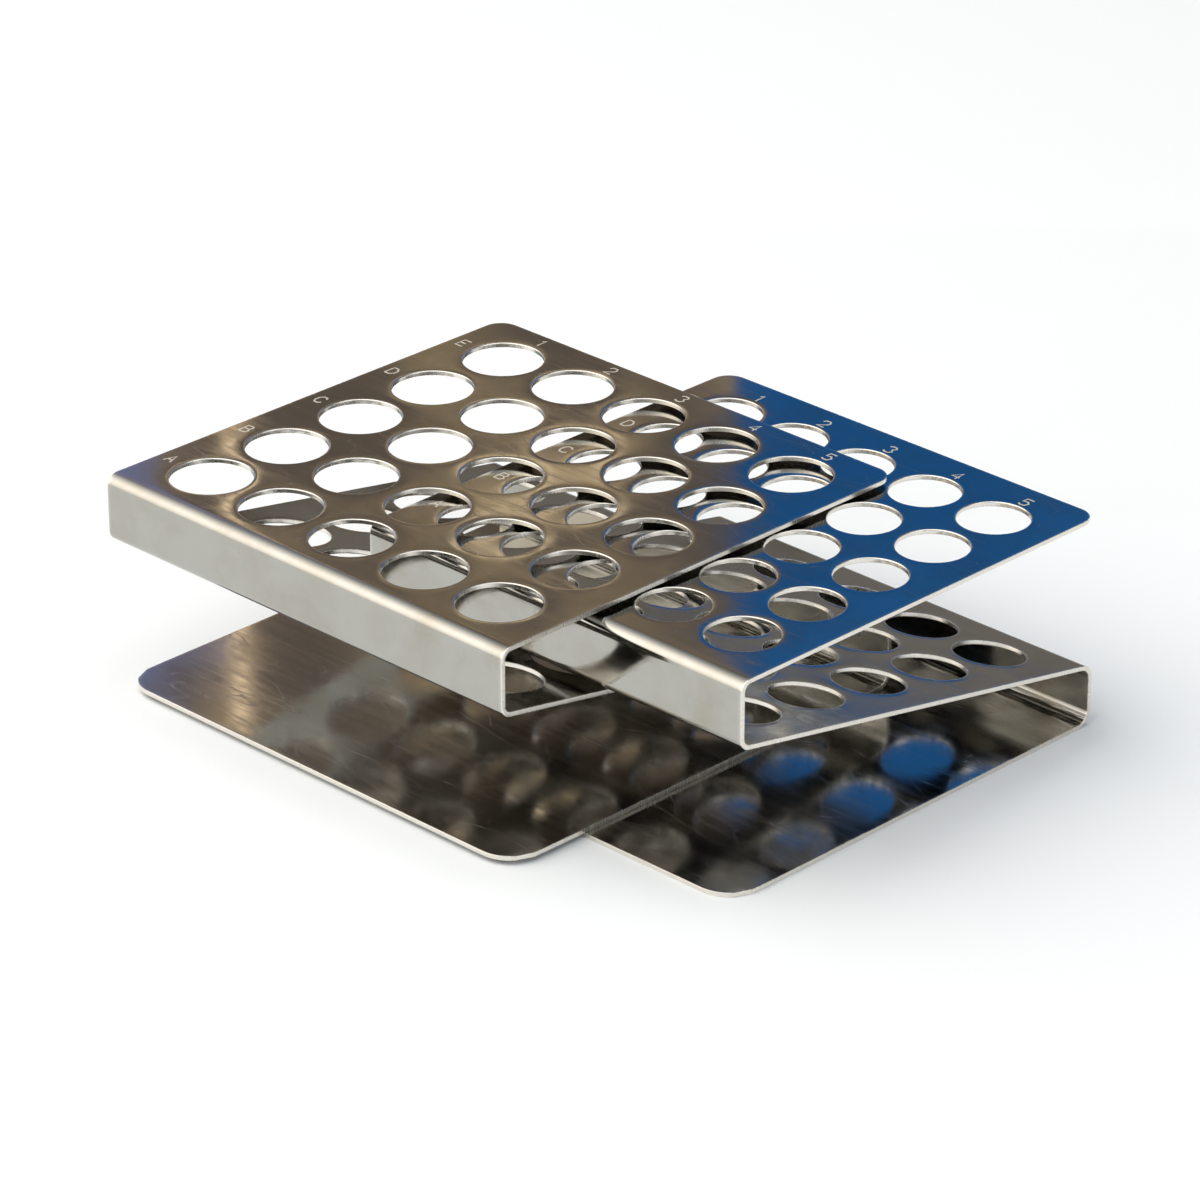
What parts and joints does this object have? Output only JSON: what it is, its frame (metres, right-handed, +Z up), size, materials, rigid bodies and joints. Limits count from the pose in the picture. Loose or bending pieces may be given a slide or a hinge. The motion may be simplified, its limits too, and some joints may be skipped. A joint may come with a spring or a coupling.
{
  "type": "test tube rack",
  "caption": "Pair of folded sheet-steel test tube racks with punched top and middle tiers, one hooked into the other so that it slides along the folds for nested storage.",
  "frame": {"origin": "on the underside of the small rack's foot, midway between its ends and midway between its two folds", "axes": "+X along the folds and the slide, +Y from the front folds to the rear folds, +Z up through the tube holes"},
  "size_m": [0.1769, 0.1497, 0.0567],
  "materials": {
    "stainless_small": "bright rolled and lightly polished stainless steel",
    "stainless_large": "bright rolled and lightly polished stainless steel"
  },
  "bodies": {
    "small_rack": {"small_rack": "stainless_small"},
    "large_rack": {"large_rack": "stainless_large"}
  },
  "joints": [
    {"name": "nesting_slide", "type": "slide", "parent": "small_rack", "child": "large_rack", "axis": [1, 0, 0], "range_m": [-0.05, 0.0453]}
  ]
}
